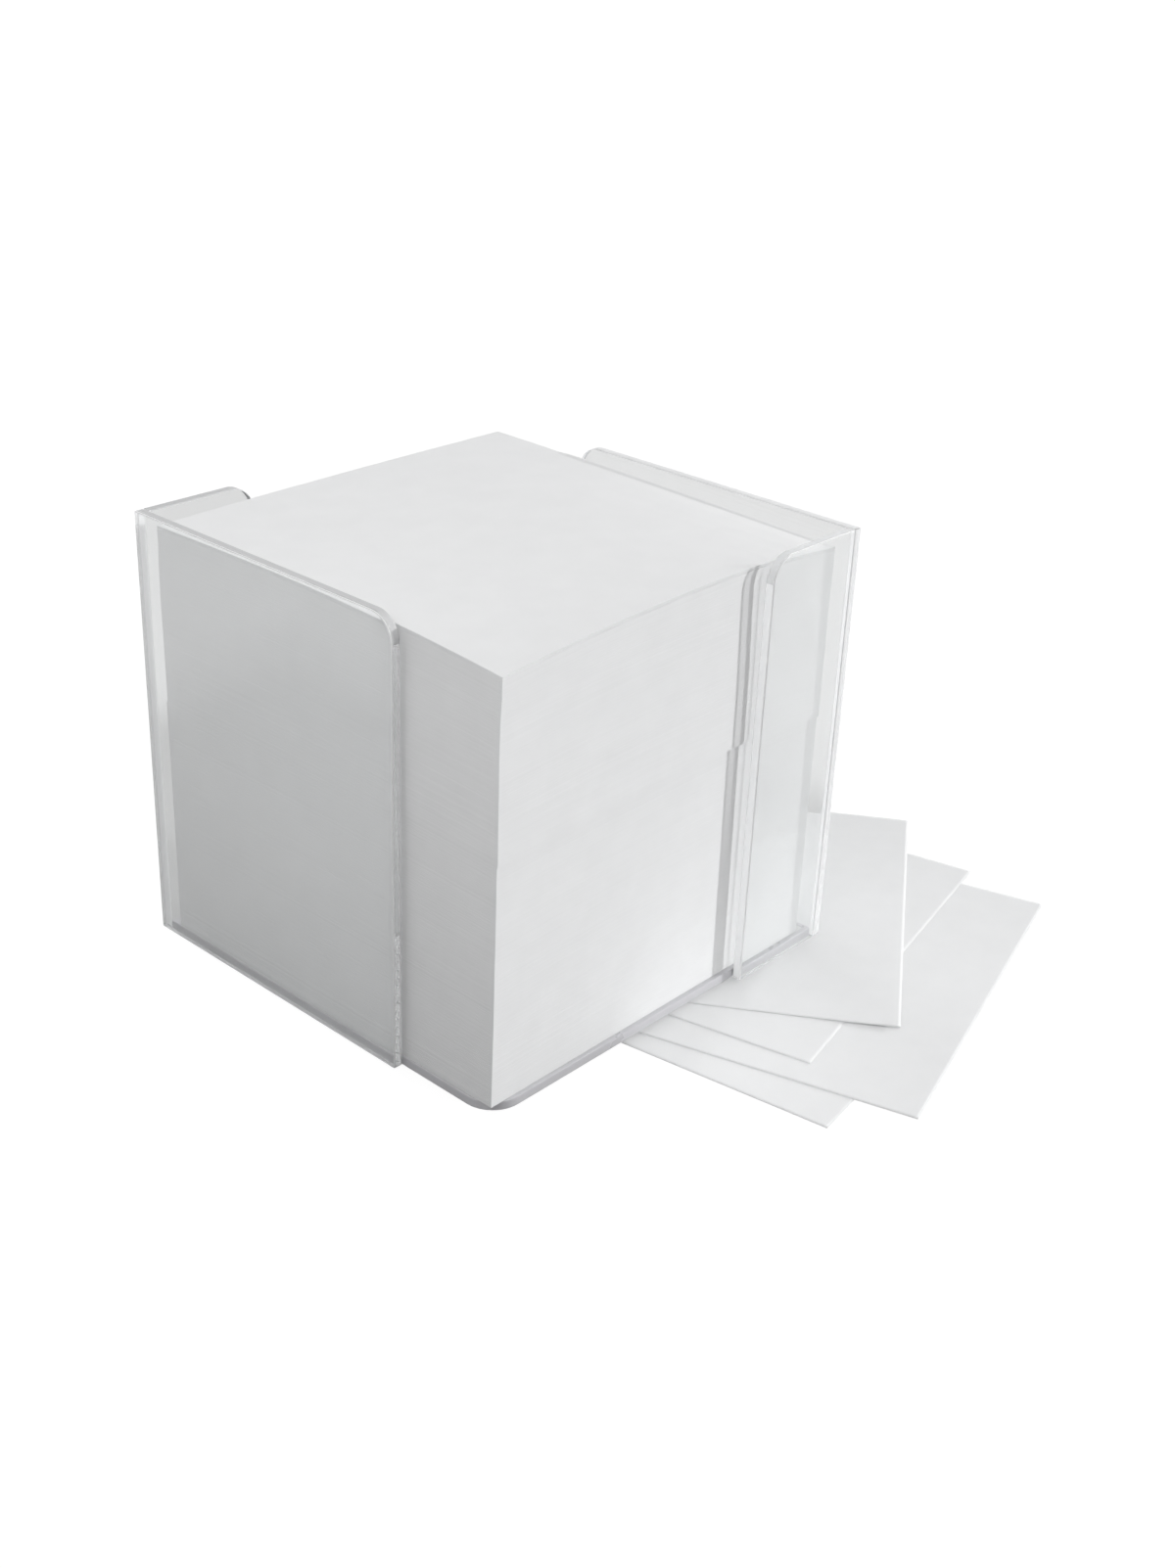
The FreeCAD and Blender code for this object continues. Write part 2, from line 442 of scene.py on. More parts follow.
@dataclass(frozen=True)
class PaleFloor:
    """The studio floor: white where it is looked at, with the part's shadow left on it, and painted shade
    near the holder in its reflections.
    """

    name: str = "studio_floor"
    bounce: Triple = (0.3, 0.3, 0.3)
    shown: Triple = (0.75, 0.75, 0.75)
    white: float = 1.15
    shadow_seen: Pair = (0.2, 0.0)
    seen_reach: Pair = (0.3, 0.8)
    # Near the holder, reflections show the floor's dull shading in place of white: painted shade that fades
    # out between the two mirrored reaches, measured from a centre beside the holder and stretched along each
    # axis
    shadow_mirrored: Pair = (1.0, 0.1)
    mirrored_reach: Pair = (122 * MM, 165 * MM)
    mirrored_centre: Triple = (-25 * MM, 0.0, 0.0)
    mirrored_stretch: Triple = (1.0, 0.95, 0.0)
    shadow_through: float = 0.7
    grain_height: float = 0.05 * MM

    def make(self) -> Material:
        """Build the material.

        Returns:
            A dull surface for the light that it passes on, mixed with white for looking at it.
        """
        material, sketch = new_material(self.name)
        place = sketch.add("TexCoord").outputs["Object"]
        grain = sketch.noise(place, scale=220.0, detail=3.0)
        bump = sketch.add("Bump", {"Height": grain, "Strength": 0.1, "Distance": self.grain_height})
        dull = sketch.add("BsdfDiffuse", {"Color": (*self.bounce, 1.0), "Normal": bump.outputs["Normal"]})
        shadow = sketch.add("BsdfDiffuse", {"Color": (*self.shown, 1.0)})
        white = sketch.add("Emission", {"Strength": self.white})
        path = sketch.add("LightPath")
        away = sketch.add("VectorMath", {0: place}, operation="LENGTH").outputs["Value"]
        # Painted shade: in reflections the floor loses its white near the holder
        centre, stretch = self.mirrored_centre, self.mirrored_stretch
        sides = sketch.add("VectorMath", {0: place, 1: centre}, operation="SUBTRACT").outputs[0]
        sides = sketch.add("VectorMath", {0: sides}, operation="ABSOLUTE").outputs[0]
        sides = sketch.add("VectorMath", {0: sides, 1: stretch}, operation="MULTIPLY").outputs[0]
        along_x, along_y, _ = sketch.add("SeparateXYZ", {0: sides}).outputs
        beside = sketch.math("MAXIMUM", along_x, along_y)
        kinds = {"Is Camera Ray": sketch.spread(away, *self.seen_reach, *self.shadow_seen),
                 "Is Glossy Ray": sketch.spread(beside, *self.mirrored_reach, *self.shadow_mirrored),
                 "Is Transmission Ray": self.shadow_through}
        shares = [sketch.math("MULTIPLY", path.outputs[kind], share) for kind, share in kinds.items()]
        share = sketch.math("MAXIMUM", sketch.math("MAXIMUM", shares[0], shares[1]), shares[2])
        pale = sketch.add("MixShader", {0: share, 1: white.outputs[0], 2: shadow.outputs[0]})
        looked_at = seen_by(sketch, tuple(kinds))
        mixed = sketch.add("MixShader", {0: looked_at, 1: dull.outputs[0], 2: pale.outputs[0]})
        sketch.add("OutputMaterial", {"Surface": mixed.outputs["Shader"]})
        return material


# ---- The holder ----


class Side(Enum):
    """A plate's four sides, as its outline meets them: the axis of the outline and its end."""

    FOOT = (1, 0)
    END = (0, 1)
    HEAD = (1, 1)
    START = (0, 0)


class Finish(IntEnum):
    """A plate's finishes, in the order of its material slots."""

    FACE = 0
    CLEAR_END = 1
    SOFT_END = 2
    BROW = 3
    BASE_EDGE = 4
    ARRIS = 5
    LIT_END = 6
    # A dark grey edge colour: painted shade for the dark lines along the heads of the two left walls
    SHADED = 7
    WELD = 8


@dataclass(frozen=True)
class PlateEdge:
    """How the plates' edges are finished."""

    arris: float = 0.22 * MM
    margin: float = 0.1 * MM
    base_margin: float = 0.9 * MM
    rim: float = 0.35 * MM
    stop: float = 0.12
    box_corner_stop: float = 0.22
    end_stop: float = 1.0
    corner_stop: float = 1.0
    clear_strips: int = 3
    least_corner: float = 0.36 * MM
    least_reach: float = 0.04 * MM
    weld_gap: float = 0.02 * MM
    arris_steps: int = 3
    corner_steps: int = 12


@dataclass(frozen=True)
class EdgeLine:
    """A line along one side of a plate: the first and last strip across the thickness, and the finish."""

    side: Side
    first: int
    last: int
    finish: Finish


@dataclass
class AcrylicPlate:
    """A flat plate with some rounded corners and softened edges.

    The outline runs along the first axis and up the second; the thickness goes along their cross
    product.  Corners count anticlockwise from the lowest, and the welded sides stop just short of
    the plate that they meet.
    """

    node: str
    along: tuple[int, int, int]
    upwards: tuple[int, int, int]
    corner_radii: dict[int, float]
    welded: Sequence[Side] = ()
    hidden: Sequence[Side] = ()
    free_end: Side | None = None
    free_finish: Finish = Finish.SOFT_END
    # Share of painted shade in the edges' colour, which only the base plate has; it also gives the base its
    # wide margin
    edge_depth: float = 0.0
    lines: Sequence[EdgeLine] = ()
    rim: PlateEdge = PlateEdge()
    axes: Array = field(init=False)
    first: Array = field(init=False)
    near: Array = field(init=False)
    far: Array = field(init=False)
    thickness: float = field(init=False)

    def __post_init__(self) -> None:
        """Read the plate's place from its node, and draw the welded sides in by the gap."""
        low, high = (np.array(corner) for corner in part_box(self.node))
        self.axes = np.array((self.along, self.upwards, np.cross(self.along, self.upwards)), dtype=float)
        self.first = np.where(self.axes.sum(axis=0) < 0, high, low)
        extent = np.abs(self.axes) @ (high - low)
        self.thickness = extent[2]
        self.near, self.far = np.zeros(2), extent[:2].copy()
        for side in self.welded:
            axis, end = side.value
            (self.far if end else self.near)[axis] += -self.rim.weld_gap if end else self.rim.weld_gap

    def rings(self) -> tuple[Array, Array]:
        """Insets and depths of the rings that carry the outline through the thickness.

        The profile is a flat margin, a quarter circle of the arris, the straight edge with a margin
        at each end, and the same mirrored.

        Returns:
            Two arrays in metres, one entry for each ring.
        """
        rim = self.rim
        turn = np.linspace(0.0, np.pi / 2, rim.arris_steps + 1)
        margin = rim.base_margin if self.edge_depth else rim.margin
        inset = np.concatenate(((rim.arris + margin,), rim.arris * (1 - np.sin(turn)), (0.0,)))
        depth = np.concatenate(((0.0,), rim.arris * (1 - np.cos(turn)), (rim.arris + rim.rim,)))
        return np.concatenate((inset, inset[::-1])), np.concatenate((depth, self.thickness - depth[::-1]))

    def outline(self, inset: Array) -> Array:
        """Rounded rectangles, each drawn in by an inset.

        Each corner is an arc about the centre of its rounding, with the radius less the inset, or a very
        small one where the inset is greater than the radius.

        Args:
            inset: one inset for each ring.

        Returns:
            (rings, points, 2) places on the plate's face.
        """
        rim = self.rim
        radius = np.array([self.corner_radii.get(corner, rim.least_corner) for corner in range(4)])
        ends = np.array(((0, 0), (1, 0), (1, 1), (0, 1)))
        reach = np.maximum(radius - inset[:, None], rim.least_reach)
        away = (reach + inset[:, None])[..., None]
        centres = np.where(ends == 1, self.far - away, self.near + away)
        start = np.pi + np.arange(4) * np.pi / 2
        angle = start[:, None] + np.linspace(0.0, np.pi / 2, rim.corner_steps + 1)
        heading = np.stack((np.cos(angle), np.sin(angle)), axis=-1)
        return (centres[:, :, None, :] + reach[..., None, None] * heading).reshape(len(inset), -1, 2)

    def edge_values(self, strips: int) -> tuple[Array, Array, Array]:
        """What the faces are: their finish, whether they are mid-edge, and how much light they stop.

        The sides and the corners before them follow one another round the outline.  A wall's head and
        its rounded corner have the brow's finish, and its softened arrises have their own, except at
        the foot.  A hidden side is a weld.  The plate's own lines then go over some of the strips, and
        one along the head goes round its corner too.  The strips next to the plate's first face stop
        no light.

        Args:
            strips: number of strips between the rings.

        Returns:
            Three arrays, one entry for each quad of the strips and for the two caps.
        """
        order, arcs = list(Side), self.rim.corner_steps
        strip = np.arange(strips)[:, None]
        edge = (strip > 0) & (strip < strips - (0 if self.edge_depth else 1))
        arris = edge & (np.abs(strip - strips // 2) > 1)
        finish = np.full((4, arcs + 1), Finish.BASE_EDGE if self.edge_depth else Finish.SOFT_END)
        stop = np.full((4, arcs + 1), self.rim.stop)
        softened = np.zeros((4, arcs + 1), dtype=bool)
        if self.free_end:
            free, head, rounded = order.index(self.free_end), order.index(Side.HEAD), list(self.corner_radii)
            stop[[order.index(Side.END), order.index(Side.START)], -1] = self.rim.box_corner_stop
            stop[free, -1] = self.rim.end_stop
            stop[rounded, :-1] = self.rim.corner_stop
            finish[rounded] = finish[head] = Finish.BROW
            finish[free, -1] = self.free_finish
            softened[order.index(Side.END):] = True
        hidden = [order.index(side) for side in self.hidden]
        finish[hidden, -1], softened[hidden, -1] = Finish.WELD, False
        slots = np.where(arris & softened.ravel(), Finish.ARRIS, edge * finish.ravel())
        for line in self.lines:
            cells = np.zeros((4, arcs + 1), dtype=bool)
            cells[order.index(line.side), -1] = True
            cells[list(self.corner_radii), :-1] = line.side is Side.HEAD
            slots[line.first:line.last + 1, cells.ravel()] = line.finish
        core = edge & (strip == strips // 2) & (finish.ravel() > Finish.FACE)
        stopping = edge & (strip > self.rim.clear_strips)
        values = slots, core, stopping * stop.ravel()
        return tuple(np.concatenate((value.ravel(), (0, 0))) for value in values)

    def build(self, finishes: Sequence[Material]) -> bpy.types.Object:
        """Build the plate where its node is.

        Args:
            finishes: the materials of all finishes, in their order.

        Returns:
            The piece, which stands for the node and rides on the holder.
        """
        inset, depth = self.rings()
        flat = self.outline(inset)
        around = flat.shape[1]
        places = np.concatenate((flat, np.broadcast_to(depth[:, None, None], (*flat.shape[:2], 1))), axis=-1)
        points = self.first + places.reshape(-1, 3) @ self.axes
        slots, core, stop = self.edge_values(len(inset) - 1)
        caps = [np.arange(around)[::-1], np.arange(around) + (len(inset) - 1) * around]
        values = {"core": core, "depth": np.full(len(slots), self.edge_depth), "stop": stop}
        surface = Surface(points, band_quads(len(inset), around), caps, slots, values, smooth=True)
        piece = surface.as_piece("clear_" + self.node, finishes)
        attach(piece, "holder")
        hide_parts(self.node)
        return piece


@dataclass
class Holder:
    """The base plate and the four walls, welded into two open-ended corners."""

    wall_corner_radius: float = 5.1 * MM
    base_corner_radius: float = 6.7 * MM

    def plates(self) -> list[AcrylicPlate]:
        """The five plates, each with its free top corner or its open corners rounded.

        The strips across an edge count from the plate's first face: the whole edge is one to nine, its
        middle is five, and six to nine lie beyond that.
        """
        wall, base = self.wall_corner_radius, self.base_corner_radius
        y_axis, minus_x, x_axis, z_axis = (0, 1, 0), (-1, 0, 0), (1, 0, 0), (0, 0, 1)
        whole, middle_on, beyond = (1, 9), (5, 9), (6, 9)
        # The left walls' heads take the painted shade, along their far half or across the whole edge
        left_long = (EdgeLine(Side.HEAD, *middle_on, Finish.SHADED),
                     EdgeLine(Side.START, *beyond, Finish.SOFT_END),
                     EdgeLine(Side.END, *whole, Finish.LIT_END))
        left_short = (EdgeLine(Side.HEAD, *whole, Finish.SHADED),
                      EdgeLine(Side.START, *whole, Finish.LIT_END))
        right_long = (EdgeLine(Side.HEAD, *whole, Finish.ARRIS),)
        return [
            AcrylicPlate("base_plate", x_axis, y_axis, {0: base, 2: base}, tuple(Side), edge_depth=1.0),
            AcrylicPlate("left_long_wall", y_axis, z_axis, {3: wall}, (), (), Side.START, Finish.CLEAR_END,
                         lines=left_long),
            AcrylicPlate("left_short_wall", minus_x, z_axis, {3: wall}, (Side.END,), (Side.END,), Side.START,
                         lines=left_short),
            AcrylicPlate("right_long_wall", y_axis, z_axis, {2: wall}, (), (), Side.END, lines=right_long),
            AcrylicPlate("right_short_wall", minus_x, z_axis, {2: wall}, (Side.START,), (Side.START,),
                         Side.END, Finish.LIT_END),
        ]

    def build(self, finishes: Sequence[Material]) -> list[bpy.types.Object]:
        """Build all plates in the finishes of their faces and edges."""
        return [plate.build(finishes) for plate in self.plates()]


# ---- The paper ----


@dataclass
class SheetSeat:
    """Where a sheet, or a block of sheets, lies: a corner, its two sides, and its faces' heights."""

    corner: Array
    side_u: Array
    side_v: Array
    bottom: float
    top: float

    @classmethod
    def of_node(cls, node: str) -> "SheetSeat":
        """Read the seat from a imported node's corners.

        Args:
            node: the node's name.

        Returns:
            The seat, with its first corner the one nearest to -X and -Y.
        """
        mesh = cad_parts[node].data
        places = np.empty(len(mesh.vertices) * 3, dtype=np.float32)
        mesh.vertices.foreach_get("co", places)
        places = places.reshape(-1, 3).astype(float)
        flat = places[:, :2]
        first = flat[np.argmin(flat.sum(axis=1))]
        across = flat[:, 0] - flat[:, 1]
        side_u, side_v = flat[np.argmax(across)] - first, flat[np.argmin(across)] - first
        return cls(first, side_u, side_v, places[:, 2].min(), places[:, 2].max())

    def place(self, u: Array, v: Array, turn: Array | float = 0.0, shift: Array | float = 0.0) -> Array:
        """Points of the sheet's plane: the corner, plus u and v of its sides, turned and shifted.

        Args:
            u: shares along the first side.
            v: shares along the second side.
            turn: further turn about the corner in radians.
            shift: further shift in metres, as (..., 2).

        Returns:
            (..., 2) places.
        """
        arm = u[..., None] * self.side_u + v[..., None] * self.side_v
        cos, sin = np.cos(turn), np.sin(turn)
        along, across = arm[..., 0], arm[..., 1]
        turned = np.stack((along * cos - across * sin, along * sin + across * cos), axis=-1)
        return self.corner + turned + shift


@dataclass(frozen=True)
class CornerDroop:
    """How far one corner of the stack's top hangs, and how soon that fades along each side."""

    at_u: int
    at_v: int
    drop: float
    fade_u: float
    fade_v: float

    def depth(self, u: Array, v: Array) -> Array:
        """The drop times the nearness to the corner along each side, each to its own power."""
        near_u = u if self.at_u else 1 - u
        near_v = v if self.at_v else 1 - v
        return self.drop * near_u**self.fade_u * near_v**self.fade_v


@dataclass(frozen=True)
class StackForm:
    """The shape of the whole stack: a crowned top with drooping corners, and sheets that wander."""

    crown: float = 1.35 * MM
    droops: tuple[CornerDroop, ...] = (
        CornerDroop(0, 0, 2.9 * MM, 3.0, 3.0),
        CornerDroop(1, 0, 2.3 * MM, 6.0, 1.2),
        CornerDroop(0, 1, 0.6 * MM, 3.0, 3.0),
        CornerDroop(1, 1, 0.2 * MM, 3.0, 3.0),
    )
    jitter: float = 0.012 * MM
    clearance: float = 0.03 * MM

    def height(self, u: Array, v: Array, share: Array | float, foot: float, head: float) -> Array:
        """Height of the stack: the foot plus a share of the crowned height above it.

        Args:
            u: shares along the first side.
            v: shares along the second side.
            share: how far up the stack, from zero at the foot to one at the head.
            foot: height that the stack stands on.
            head: nominal height of its top.

        Returns:
            Heights in metres.
        """
        hang = sum(droop.depth(u, v) for droop in self.droops)
        return foot + share * (head - foot + self.crown - hang)


@dataclass(frozen=True)
class SheetBlock:
    """Many sheets that are lifted together: every sheet has its own cut edge and its own place.

    At some shares of the way up, turns gives the further turn in degrees, and leans and slides the
    shifts along X and Y in millimetres.
    """

    node: str
    rises: tuple[float, ...]
    turns: tuple[float, ...]
    leans: tuple[float, ...]
    slides: tuple[float, ...]
    steps: int = 10

    def build(self, stack: "SheetStack", finishes: Sequence[Material]) -> bpy.types.Object:
        """Build the block.

        The border of a sheet is a ring.  Each sheet gives two rings, its lower and its upper edge,
        moved by the sheet's own shift and turn, so that thin ledges lie between the sheets.

        Args:
            stack: the stack that the block belongs to.
            finishes: the sheet's face and its cut edge.

        Returns:
            The piece, which stands for the node and rides on its body.
        """
        seat = SheetSeat.of_node(self.node)
        count = round((seat.top - seat.bottom) / stack.sheet_thickness)
        step = (1 - np.cos(np.linspace(0.0, np.pi, self.steps + 1))) / 2
        grid_u, grid_v = np.meshgrid(step, step)
        ring_u, ring_v = border(grid_u), border(grid_v)
        around = len(ring_u)
        rng = np.random.default_rng(SEED + count)
        level = np.linspace(seat.bottom, seat.top, count + 1)
        rise = np.linspace(0.0, 1.0, count)
        shift = stack.form.jitter * rng.uniform(-1.0, 1.0, (count, 2))
        ways = [np.interp(rise, self.rises, way) for way in (self.leans, self.slides)]
        shift += MM * np.stack(ways, axis=-1)
        turn = np.radians(np.interp(rise, self.rises, self.turns))
        pair = np.repeat(np.arange(count), 2)
        heights = np.stack((level[:-1], level[1:]), axis=-1).ravel()
        ring_u, ring_v = (np.broadcast_to(ring, (2 * count, around)) for ring in (ring_u, ring_v))
        flat = seat.place(ring_u, ring_v, turn[pair][:, None], shift[pair][:, None, :])
        tall = stack.height_at(ring_u, ring_v, heights[:, None])
        rings = np.concatenate((flat, tall[..., None]), axis=-1).reshape(-1, 3)
        inner_u, inner_v = grid_u[1:-1, 1:-1], grid_v[1:-1, 1:-1]
        covers = [np.concatenate((seat.place(inner_u, inner_v, turn[end], shift[end]),
                                  stack.height_at(inner_u, inner_v, heights[end])[..., None]), axis=-1)
                  for end in (0, -1)]
        points = np.concatenate((rings, covers[0].reshape(-1, 3), covers[1].reshape(-1, 3)))
        inside = np.arange(inner_u.size).reshape(inner_u.shape) + len(rings)
        last = np.arange(around) + len(rings) - around
        under = grid_quads(capped_grid(np.arange(around), inside))[:, ::-1]
        over = grid_quads(capped_grid(last, inside + inner_u.size))
        sides = band_quads(2 * count, around)
        quads = np.concatenate((sides, under, over))
        tones = np.repeat(rng.uniform(0.0, 1.0, 2 * count - 1), around)
        tone = np.concatenate((tones, np.ones(len(under) + len(over))))
        slots = np.concatenate((np.ones(len(sides)), np.zeros(len(under) + len(over))))
        surface = Surface(points, quads, slots=slots, values={"tone": tone})
        piece = surface.as_piece("paper_" + self.node, finishes)
        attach(piece, self.node)
        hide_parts(self.node)
        return piece


@dataclass
class ThinSheet:
    """One sheet of paper, as a thin closed shell over a grid."""

    node: str
    steps: int = 20
    edge_steps: tuple[float, ...] = (0.0, 0.25 * MM, 0.5 * MM, 0.8 * MM, 1.2 * MM, 2 * MM)
    bulk: float = 0.9
    smooth: bool = False

    def build(self, seat: SheetSeat, lift: Callable[..., Array], turn: float, shift: Array,
              finishes: Sequence[Material]) -> bpy.types.Object:
        """Build the sheet: its upper face is a height over u and v, its lower face lies just below.

        Args:
            seat: where the sheet lies.
            lift: function of u and v, and of the places there, that gives the upper face's height.
            turn: further turn about the seat's corner in radians.
            shift: further shift in metres.
            finishes: the sheet's face and its cut edge.

        Returns:
            The piece, which stands for the node and rides on its body.
        """
        near = np.array(self.edge_steps) / np.hypot(*seat.side_u)
        step = np.concatenate((near, np.linspace(0.0, 1.0, self.steps + 1)[1:-1], 1 - near[::-1]))
        u, v = np.meshgrid(step, step)
        flat = seat.place(u, v, turn, shift)
        upper = lift(u, v, flat)
        lower = upper - self.bulk * (seat.top - seat.bottom)
        layers = [np.concatenate((flat, face[..., None]), axis=-1).reshape(-1, 3) for face in (upper, lower)]
        above = np.arange(u.size).reshape(u.shape)
        below = above + u.size
        ring_above, ring_below = border(above), border(below)
        rim = np.stack((ring_below, np.roll(ring_below, -1), np.roll(ring_above, -1), ring_above), axis=-1)
        faces = np.concatenate((grid_quads(above), grid_quads(below)[:, ::-1]))
        slots = np.concatenate((np.zeros(len(faces)), np.ones(len(rim))))
        values = {"tone": np.ones(len(slots))}
        quads = np.concatenate((faces, rim))
        surface = Surface(np.concatenate(layers), quads, slots=slots, values=values, smooth=self.smooth)
        piece = surface.as_piece("paper_" + self.node, finishes)
        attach(piece, self.node)
        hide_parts(self.node)
        return piece


@dataclass
class SheetStack:
    """The stack in the holder: two askew blocks of sheets, and the single sheets on top."""

    form: StackForm = StackForm()
    top_sheets: int = 6
    lower: SheetBlock = SheetBlock("lower_sheets", (0.0, 0.125, 0.315, 0.58, 0.84, 1.0),
                                   (-0.13, -0.1, -0.07, -0.02, 0.008, 0.018),
                                   (-0.33, -0.27, -0.17, -0.12, -0.04, -0.03),
                                   (0.0, 0.0, 0.0, 0.0, 0.03, 0.05))
    upper: SheetBlock = SheetBlock("upper_sheets", (0.0, 0.4, 0.58, 0.77, 0.91, 1.0),
                                   (0.096, 0.096, 0.106, 0.146, 0.196, 0.23),
                                   (-0.18, -0.19, -0.2, -0.04, 0.18, 0.22),
                                   (-0.285, -0.225, -0.147, -0.1, -0.12, -0.15))
    top_turn: float = 0.24
    top_turn_spread: float = 0.05
    top_lean: float = 0.2 * MM
    top_slide: float = -0.12 * MM
    top_shift_spread: float = 0.12 * MM
    burr_height: float = 0.25 * MM
    burr_width: float = 1.4 * MM
    burr_end: Pair = (0.74, 0.8)
    foot: float = field(init=False)
    head: float = field(init=False)
    sheet_thickness: float = field(init=False)

    def __post_init__(self) -> None:
        """Read the stack's foot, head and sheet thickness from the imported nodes."""
        self.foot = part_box("lower_sheets")[0].z
        self.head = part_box(self.top_name(self.top_sheets))[1].z
        low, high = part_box(self.top_name(1))
        self.sheet_thickness = high.z - low.z

    @staticmethod
    def top_name(number: int) -> str:
        """Name of a single sheet on top."""
        return f"top_sheet_{number}"

    def height_at(self, u: Array, v: Array, nominal: Array | float) -> Array:
        """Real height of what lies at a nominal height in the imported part, just clear of the base."""
        share = (np.asarray(nominal) - self.foot) / (self.head - self.foot)
        return self.form.height(u, v, share, self.foot + self.form.clearance, self.head)

    def build(self, finishes: Sequence[Material]) -> list[bpy.types.Object]:
        """Build the two blocks and the single sheets.

        Args:
            finishes: the sheet's face and its cut edge.

        Returns:
            The pieces from the lowest up.
        """
        pieces = [block.build(self, finishes) for block in (self.lower, self.upper)]
        rng = np.random.default_rng(SEED)
        for number in range(1, self.top_sheets + 1):
            node = self.top_name(number)
            seat = SheetSeat.of_node(node)
            turn = np.radians(self.top_turn + self.top_turn_spread * rng.uniform(-1.0, 0.0))
            shift = np.array((self.top_lean, self.top_slide))
            shift += self.top_shift_spread * rng.uniform(0.0, 1.0, 2)

            def lift(u: Array, v: Array, flat: Array, seat: SheetSeat = seat) -> Array:
                """The stack's own crowned form, with the edge at the right-hand wall turned up a little."""
                burr = smooth_step(1 - (1 - u) * np.hypot(*seat.side_u) / self.burr_width)
                start, end = self.burr_end
                burr = burr * smooth_step((end - v) / (end - start))
                return self.height_at(u, v, seat.top) + self.burr_height * burr

            pieces.append(ThinSheet(node).build(seat, lift, turn, shift, finishes))
        return pieces


@dataclass
class LooseSheets:
    """The sheets fanned out on the desk under the holder's right-hand side.

    They lie flat, so that each can be drawn out between its neighbours, and their cut edges are worn
    soft.  Only the outer corner of the uppermost one is lifted.
    """

    count: int = 4
    corner_lift: float = 0.42 * MM
    corner_reach: float = 26 * MM
    sink: float = 0.05
    edge_steps: tuple[float, ...] = (0.0, 0.7 * MM, 1.6 * MM)

    def build(self, finishes: Sequence[Material]) -> list[bpy.types.Object]:
        """Build the sheets, lowest first.

        A sheet's height is its level, less a small share of its thickness.  The lift of the last one is
        the corner's own times the square of the nearness to the corner.

        Args:
            finishes: the sheet's face and its cut edge.

        Returns:
            The pieces.
        """
        pieces = []
        for number in range(1, self.count + 1):
            name = f"loose_sheet_{number}"
            seat = SheetSeat.of_node(name)
            raised = self.corner_lift if number == self.count else 0.0

            def lift(u: Array, v: Array, flat: Array, seat: SheetSeat = seat,
                     raised: float = raised) -> Array:
                """The height of the sheet's upper face."""
                reach = np.hypot(*(flat - seat.corner).transpose(2, 0, 1)) / self.corner_reach
                level = seat.top - self.sink * (seat.top - seat.bottom)
                return level + raised * np.clip(1 - reach, 0, 1) ** 2

            sheet = ThinSheet(name, edge_steps=self.edge_steps, smooth=True)
            pieces.append(sheet.build(seat, lift, 0.0, np.zeros(2), finishes))
        return pieces


# ---- The studio ----


@dataclass(frozen=True)
class SoftBox:
    """A studio lamp, square unless it has a height, that is aimed at the holder."""

    name: str
    place: Triple
    size: float
    power: float
    aim: Triple = (0.0, 0.0, 0.045)
    height: float | None = None

    def build(self) -> None:
        """Hang the lamp and turn it to its aim."""
        lamp = bpy.data.lights.new(self.name, "AREA")
        lamp.shape = "RECTANGLE"
        lamp.size, lamp.size_y = self.size, self.height or self.size
        lamp.energy = self.power
        thing = bpy.data.objects.new(self.name, lamp)
        thing.location = self.place
        thing.rotation_euler = (Vector(self.aim) - Vector(self.place)).to_track_quat("-Z", "Y").to_euler()
        bpy.context.scene.collection.objects.link(thing)


@dataclass(frozen=True)
class PhotoCamera:
    """The photograph's camera: it circles a target, then slides sideways and up in its own plane."""

    target: Triple = (-1.2 * MM, -1.2 * MM, 47 * MM)
    azimuth: float = -48.42
    elevation: float = 26.895
    roll: float = 2.473
    distance: float = 389.27 * MM
    slide: Pair = (18.07 * MM, -10.26 * MM)
    lens: float = 44.64
    sensor: float = 36.0
    clip: Pair = (0.01, 50.0)

    def build(self) -> None:
        """Set the camera up and make it the scene's own."""
        turn, tilt, lean = np.radians((self.azimuth, self.elevation, self.roll))
        back = np.array((np.sin(turn) * np.cos(tilt), -np.cos(turn) * np.cos(tilt), np.sin(tilt)))
        level = np.array((np.cos(turn), np.sin(turn), 0.0))
        raised = np.cross(back, level)
        right = np.cos(lean) * level + np.sin(lean) * raised
        over = np.cos(lean) * raised - np.sin(lean) * level
        eye = np.array(self.target) + self.distance * back + self.slide[0] * right + self.slide[1] * over
        lens = bpy.data.cameras.new("photo_camera")
        lens.lens = self.lens
        lens.sensor_width = self.sensor
        lens.clip_start, lens.clip_end = self.clip
        thing = bpy.data.objects.new("photo_camera", lens)
        pose = np.eye(4)
        pose[:3] = np.stack((right, over, back, eye), axis=-1)
        thing.matrix_world = Matrix(pose.tolist())
        bpy.context.scene.collection.objects.link(thing)
        bpy.context.scene.camera = thing


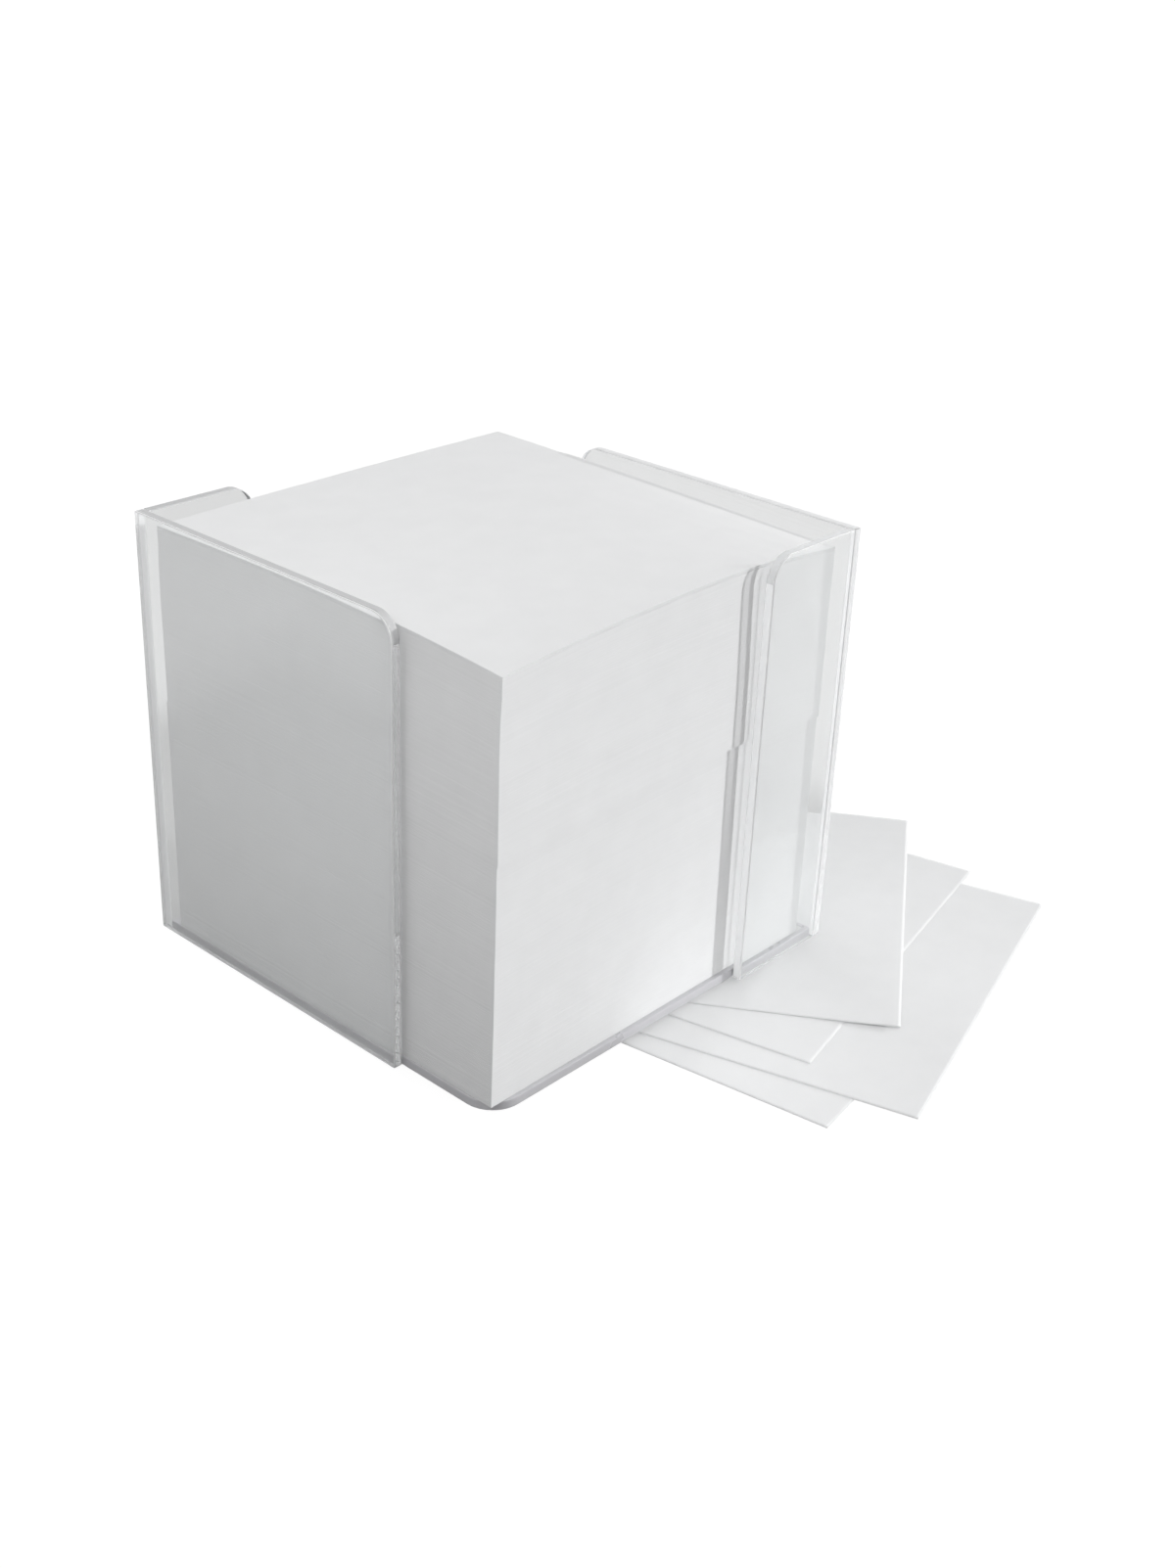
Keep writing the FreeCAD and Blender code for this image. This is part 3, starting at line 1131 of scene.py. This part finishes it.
@dataclass
class Studio:
    """Floor, lamps, surrounding light and camera."""

    floor_reach: float = 8.0
    floor_points: int = 9
    floor_gap: float = 0.02 * MM
    bounces: int = 28
    zenith: float = 0.06
    horizon: float = 0.335
    lamps: tuple[SoftBox, ...] = (
        SoftBox("key_lamp", (2.62, -1.38, 0.435), 0.12, 63.4),
        SoftBox("front_lamp", (0.5, -2.0, 0.7), 0.5, 8.85),
        SoftBox("top_lamp", (0.1, -0.1, 1.1), 1.0, 3.33),
        SoftBox("back_lamp", (1.0, 0.25, 0.6), 0.1, 1.79),
        SoftBox("rear_lamp", (0.2, 1.7, 0.7), 0.6, 6.4),
        SoftBox("fill_lamp", (-0.32, -0.05, 0.4), 0.3, 0.606),
        SoftBox("strip_lamp", (-0.15, -0.02, 0.086), 0.36, 0.0414, (0.0, -0.02, 0.075), 0.03),
    )

    def build(self) -> None:
        """Set up the whole studio."""
        scene = bpy.context.scene
        scene.view_settings.view_transform = "Standard"
        scene.cycles.max_bounces = self.bounces
        scene.cycles.glossy_bounces = self.bounces
        scene.cycles.transmission_bounces = self.bounces
        self.lay_floor()
        self.light_world()
        for lamp in self.lamps:
            lamp.build()
        PhotoCamera().build()

    def lay_floor(self) -> None:
        """Lay a flat grid just under the lowest sheet."""
        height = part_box("loose_sheet_1")[0].z - self.floor_gap
        step = np.linspace(-self.floor_reach, self.floor_reach, self.floor_points)
        x, y = np.meshgrid(step, step)
        points = np.stack((x, y, np.full_like(x, height)), axis=-1).reshape(-1, 3)
        surface = Surface(points, grid_quads(np.arange(x.size).reshape(x.shape)))
        surface.as_piece("studio_floor", [PaleFloor().make()])

    def light_world(self) -> None:
        """Soft light that grows from the horizon to the zenith, and white to look at."""
        world = bpy.data.worlds.new("studio_air")
        world.use_nodes = True
        world.node_tree.nodes.clear()
        bpy.context.scene.world = world
        sketch = ShaderSketch(world.node_tree)
        heading = sketch.add("TexCoord").outputs["Generated"]
        rise = sketch.add("SeparateXYZ", {0: heading}).outputs["Z"]
        level = sketch.spread(rise, 0.0, 1.0, self.horizon, self.zenith)
        plain = (1.0, 1.0, 1.0, 1.0)
        soft = sketch.add("Background", {"Color": plain, "Strength": level})
        white = sketch.add("Background", {"Color": plain, "Strength": 1.0})
        looked_at = seen_by(sketch, ("Is Camera Ray", "Is Glossy Ray", "Is Transmission Ray"))
        mixed = sketch.add("MixShader", {0: looked_at, 1: soft.outputs[0], 2: white.outputs[0]})
        sketch.add("OutputWorld", {"Surface": mixed.outputs["Shader"]})


def acrylic_finishes() -> list[Material]:
    """The materials of the plates' faces, edges and welds, in the order of their slots."""
    pale, soft, dull = (0.95, 0.955, 0.96), (0.02, 0.08), (0.35, 0.45)
    finishes = {
        Finish.FACE: ClearAcrylic(),
        Finish.CLEAR_END: AcrylicEdge("clear_acrylic_end", 0.8, (0.0, 0.03)),
        Finish.SOFT_END: AcrylicEdge("clear_acrylic_soft_end", 0.35, soft, pale),
        # The brow is darker than the other cloudy edges: painted shade for the grey line along the walls'
        # heads
        Finish.BROW: AcrylicEdge("clear_acrylic_brow", 0.4, (0.1, 0.2), (0.8, 0.805, 0.81)),
        Finish.BASE_EDGE: AcrylicEdge("clear_acrylic_base_edge", 0.12, (0.25, 0.4)),
        Finish.ARRIS: AcrylicEdge("clear_acrylic_arris", 0.0, (0.5, 0.6), (0.93, 0.935, 0.94), shine=0.1),
        Finish.LIT_END: AcrylicEdge("clear_acrylic_lit_end", 0.35, soft, pale, glow=0.14),
        # Painted shade: the dark grey of the lines along the left walls' heads
        Finish.SHADED: AcrylicEdge("clear_acrylic_painted_shade", 0.0, dull, (0.57, 0.575, 0.58), shine=0.2),
        Finish.WELD: AcrylicEdge("clear_acrylic_weld", 0.0, dull, (0.92, 0.925, 0.93), shine=0.1, glow=0.37),
    }
    return [finishes[finish].make() for finish in Finish]


def main() -> None:
    """Build the holder, the paper and the studio, and report each piece."""
    logging.basicConfig(level=logging.INFO, format="%(name)s: %(message)s")
    fibre_group = paper_fibre_group()
    paper = [NotePaper().make(fibre_group), CutPaper().make(fibre_group)]
    pieces = Holder().build(acrylic_finishes())
    pieces += SheetStack().build(paper)
    pieces += LooseSheets().build(paper)
    for piece in pieces:
        log.info("%s: %d faces", piece.name, len(piece.data.polygons))
    Studio().build()


if __name__ == "__main__":
    main()
